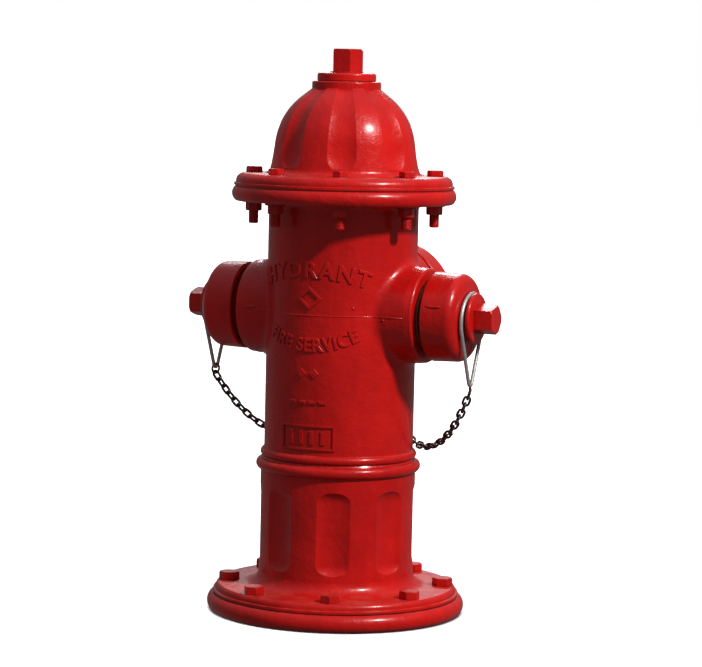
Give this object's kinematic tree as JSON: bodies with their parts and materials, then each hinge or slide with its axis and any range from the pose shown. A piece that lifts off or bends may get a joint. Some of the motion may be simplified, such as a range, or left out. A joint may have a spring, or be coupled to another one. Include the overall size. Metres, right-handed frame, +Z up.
{
  "type": "fire hydrant",
  "caption": "Dry-barrel fire hydrant head: flanged cast barrel, fluted bonnet, pentagon operating nut, screw-on outlet caps on chains.",
  "frame": {"origin": "centre of the bottom face of the ground flange, on the barrel axis", "axes": "+Z up along the barrel; hose outlets face +X and -X; the pumper outlet faces +Y"},
  "size_m": [0.446, 0.4095, 0.752],
  "materials": {
    "red_enamel": "glossy alkyd enamel over ductile iron, lightly dimpled casting skin",
    "red_bronze": "bronze under the same glossy red enamel",
    "raw_iron": "bitumen-dipped casting",
    "bronze": "machined bronze, dull",
    "steel": "turned steel, lightly oiled",
    "galvanised_wire": "hot-dip galvanised wire, dull silver",
    "chain_steel": "dark weathered steel, oily",
    "rubber": "moulded nitrile rubber",
    "gasket": "compressed fibre sheet",
    "acetal": "turned acetal"
  },
  "bodies": {
    "hydrant": {"standpipe_flange": "red_enamel", "flange_gasket": "gasket", "upper_barrel": "red_enamel", "base_bolts": "red_enamel", "bonnet_gasket": "gasket", "bonnet": "red_enamel", "bonnet_bolts": "red_enamel", "bonnet_nuts": "red_enamel", "oil_fill_plug": "red_bronze", "seal_plate": "bronze", "seal_plate_o_ring": "rubber", "stem_o_rings": "rubber", "thrust_washer_lower": "acetal", "thrust_washer_upper": "acetal", "hold_down_nut": "red_bronze", "nut_o_ring": "rubber", "hose_nozzle_right": "bronze", "hose_nozzle_left": "bronze", "pumper_nozzle": "bronze", "hose_nozzle_o_rings": "rubber", "pumper_nozzle_o_ring": "rubber", "hose_set_screws": "steel", "pumper_set_screw": "steel", "chain_eye": "red_enamel", "strap_screw": "red_enamel", "chain_right": "chain_steel", "chain_left": "chain_steel", "chain_pumper": "chain_steel"},
    "operating": {"operating_nut": "red_bronze"},
    "stem": {"upper_stem": "steel", "stem_sleeve": "bronze", "stem_coupling": "raw_iron", "coupling_pin": "steel", "coupling_cotter": "steel"},
    "right_ring": {"cap_ring_right": "galvanised_wire"},
    "right_cap": {"hose_cap_right": "red_enamel", "hose_cap_gasket_right": "rubber"},
    "left_ring": {"cap_ring_left": "galvanised_wire"},
    "left_cap": {"hose_cap_left": "red_enamel", "hose_cap_gasket_left": "rubber"},
    "pumper_ring": {"cap_ring_pumper": "galvanised_wire"},
    "pumper_cover": {"pumper_cap": "red_enamel", "pumper_cap_gasket": "rubber"}
  },
  "joints": [
    {"name": "nut_turn", "type": "hinge", "parent": "hydrant", "child": "operating", "pos_m": [0, 0, 0.73], "axis": [0, 0, 1], "range_deg": [0, 3600]},
    {"name": "stem_travel", "type": "slide", "parent": "hydrant", "child": "stem", "axis": [0, 0, -1], "range_m": [0, 0.0635]},
    {"name": "right_cap_travel", "type": "slide", "parent": "hydrant", "child": "right_ring", "axis": [1, 0, 0], "range_m": [0, 0.0272], "deforming": ["chain_right"]},
    {"name": "right_cap_turn", "type": "hinge", "parent": "right_ring", "child": "right_cap", "pos_m": [0.16, 0, 0.404], "axis": [1, 0, 0], "range_deg": [0, 2880]},
    {"name": "left_cap_travel", "type": "slide", "parent": "hydrant", "child": "left_ring", "axis": [-1, 0, 0], "range_m": [0, 0.0272], "deforming": ["chain_left"]},
    {"name": "left_cap_turn", "type": "hinge", "parent": "left_ring", "child": "left_cap", "pos_m": [-0.16, 0, 0.404], "axis": [-1, 0, 0], "range_deg": [0, 2880]},
    {"name": "pumper_cap_travel", "type": "slide", "parent": "hydrant", "child": "pumper_ring", "axis": [0, 1, 0], "range_m": [0, 0.0318], "deforming": ["chain_pumper"]},
    {"name": "pumper_cap_turn", "type": "hinge", "parent": "pumper_ring", "child": "pumper_cover", "pos_m": [0, 0.17, 0.404], "axis": [0, 1, 0], "range_deg": [0, 1800]}
  ],
  "couplings": [
    {"joint": "nut_turn", "follows": "stem_travel", "rad_per_m": 989.48},
    {"joint": "right_cap_travel", "follows": "right_cap_turn", "m_per_rad": 0.000539},
    {"joint": "left_cap_travel", "follows": "left_cap_turn", "m_per_rad": 0.000539},
    {"joint": "pumper_cap_travel", "follows": "pumper_cap_turn", "m_per_rad": 0.0010106}
  ]
}
